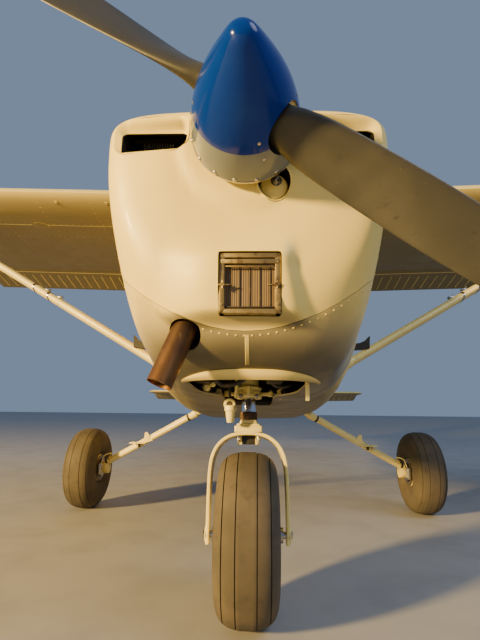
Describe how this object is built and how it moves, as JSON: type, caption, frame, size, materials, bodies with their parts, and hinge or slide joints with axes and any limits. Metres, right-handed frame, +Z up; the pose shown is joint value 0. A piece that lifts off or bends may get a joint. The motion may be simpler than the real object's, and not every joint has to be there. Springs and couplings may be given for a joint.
{
  "type": "light aircraft",
  "caption": "High-wing, strut-braced four-seat light aircraft on fixed nose-wheel gear, with a propeller, doors, steering and control surfaces that move.",
  "frame": {"origin": "on the ground, at the centre of the whole aircraft's outline seen from above", "axes": "+X to the pilot's left along the wing, -Y forward out of the nose, +Z up"},
  "size_m": [10.96, 8.185, 2.5024],
  "materials": {
    "cream_paint": "gloss",
    "gear_paint": "satin",
    "blue_paint": "gloss",
    "blade_paint": "matte",
    "bare_aluminium": "satin",
    "steel": "satin",
    "engine_iron": "matte",
    "filter_metal": "matte",
    "heated_steel": "satin",
    "window": "polished",
    "seat_cloth": "matte",
    "cabin_trim": "matte",
    "tyre": "matte",
    "beacon_red": "gloss"
  },
  "bodies": {
    "airframe": {"nose_bowl": "cream_paint", "cowl_upper": "cream_paint", "cowl_lower": "cream_paint", "engine_block": "engine_iron", "starter_nose": "steel", "air_filter": "filter_metal", "exhaust_stack": "heated_steel", "firewall": "steel", "cabin_shell": "cream_paint", "side_glass_left": "window", "side_glass_right": "window", "windshield": "window", "rear_window": "window", "cabin_floor": "cabin_trim", "instrument_panel": "cabin_trim", "seat_left": "seat_cloth", "seat_right": "seat_cloth", "seat_rear": "seat_cloth", "wing_left": "cream_paint", "wing_right": "cream_paint", "wing_strut_left": "cream_paint", "wing_strut_right": "cream_paint", "tail_cone": "cream_paint", "stabilizer": "cream_paint", "fin": "cream_paint", "beacon": "beacon_red", "nose_strut_barrel": "steel", "gear_leg_left": "gear_paint", "gear_leg_right": "gear_paint", "axle_left": "steel", "axle_right": "steel"},
    "propeller": {"spinner": "blue_paint", "propeller": "blade_paint", "spinner_backplate": "bare_aluminium"},
    "nose_fork": {"torque_links": "gear_paint", "nose_piston": "steel", "nose_fork": "gear_paint", "nose_axle": "steel"},
    "nose_wheel": {"nose_rim": "gear_paint", "nose_tyre": "tyre"},
    "main_wheel_left": {"main_left_rim": "gear_paint", "main_left_tyre": "tyre"},
    "main_wheel_right": {"main_right_rim": "gear_paint", "main_right_tyre": "tyre"},
    "door_left": {"door_left": "cream_paint", "door_glass_left": "window"},
    "door_right": {"door_right": "cream_paint", "door_glass_right": "window"},
    "flap_left": {"flap_left": "cream_paint"},
    "flap_right": {"flap_right": "cream_paint"},
    "aileron_left": {"aileron_left": "cream_paint"},
    "aileron_right": {"aileron_right": "cream_paint"},
    "elevator": {"elevator": "cream_paint"},
    "rudder": {"rudder": "cream_paint"}
  },
  "joints": [
    {"name": "propeller_turn", "type": "hinge", "parent": "airframe", "child": "propeller", "pos_m": [0, -3.8775, 1.45], "axis": [0, -1, 0], "continuous": true},
    {"name": "nose_steer", "type": "hinge", "parent": "airframe", "child": "nose_fork", "pos_m": [0, -3.1165, 0.284], "axis": [0, 0.1045, 0.9945], "range_deg": [-30, 30]},
    {"name": "nose_wheel_turn", "type": "hinge", "parent": "nose_fork", "child": "nose_wheel", "pos_m": [0, -3.1165, 0.284], "axis": [1, 0, 0], "continuous": true},
    {"name": "main_wheel_left_turn", "type": "hinge", "parent": "airframe", "child": "main_wheel_left", "pos_m": [1.232, -1.3655, 0.284], "axis": [1, 0, 0], "continuous": true},
    {"name": "main_wheel_right_turn", "type": "hinge", "parent": "airframe", "child": "main_wheel_right", "pos_m": [-1.232, -1.3655, 0.284], "axis": [1, 0, 0], "continuous": true},
    {"name": "door_left_swing", "type": "hinge", "parent": "airframe", "child": "door_left", "pos_m": [0.548, -2.1215, 1.3], "axis": [0, 0, -1], "range_deg": [0, 70]},
    {"name": "door_right_swing", "type": "hinge", "parent": "airframe", "child": "door_right", "pos_m": [-0.548, -2.1215, 1.3], "axis": [0, 0, 1], "range_deg": [0, 70]},
    {"name": "flap_left_drop", "type": "hinge", "parent": "airframe", "child": "flap_left", "pos_m": [0.562, -0.99042, 1.96189], "axis": [-0.9995, 0, -0.0302], "range_deg": [-15, 25]},
    {"name": "flap_right_drop", "type": "hinge", "parent": "airframe", "child": "flap_right", "pos_m": [-0.562, -0.99042, 1.96189], "axis": [-0.9995, 0, 0.0302], "range_deg": [-15, 25]},
    {"name": "aileron_left_turn", "type": "hinge", "parent": "airframe", "child": "aileron_left", "pos_m": [2.512, -0.96719, 2.01801], "axis": [-0.9951, 0.0816, -0.056], "range_deg": [-20, 15]},
    {"name": "aileron_right_turn", "type": "hinge", "parent": "airframe", "child": "aileron_right", "pos_m": [-2.512, -0.96719, 2.01801], "axis": [-0.9951, -0.0816, 0.056], "range_deg": [-15, 20]},
    {"name": "elevator_turn", "type": "hinge", "parent": "airframe", "child": "elevator", "pos_m": [0, 2.8525, 0.992], "axis": [1, 0, 0], "range_deg": [0, 48]},
    {"name": "rudder_turn", "type": "hinge", "parent": "airframe", "child": "rudder", "pos_m": [0, 3.1705, 0.94], "axis": [0, 0.1961, 0.9806], "range_deg": [-18, 18]}
  ],
  "couplings": [
    {"joint": "flap_right_drop", "follows": "flap_left_drop", "ratio": 1},
    {"joint": "aileron_right_turn", "follows": "aileron_left_turn", "ratio": -1}
  ]
}
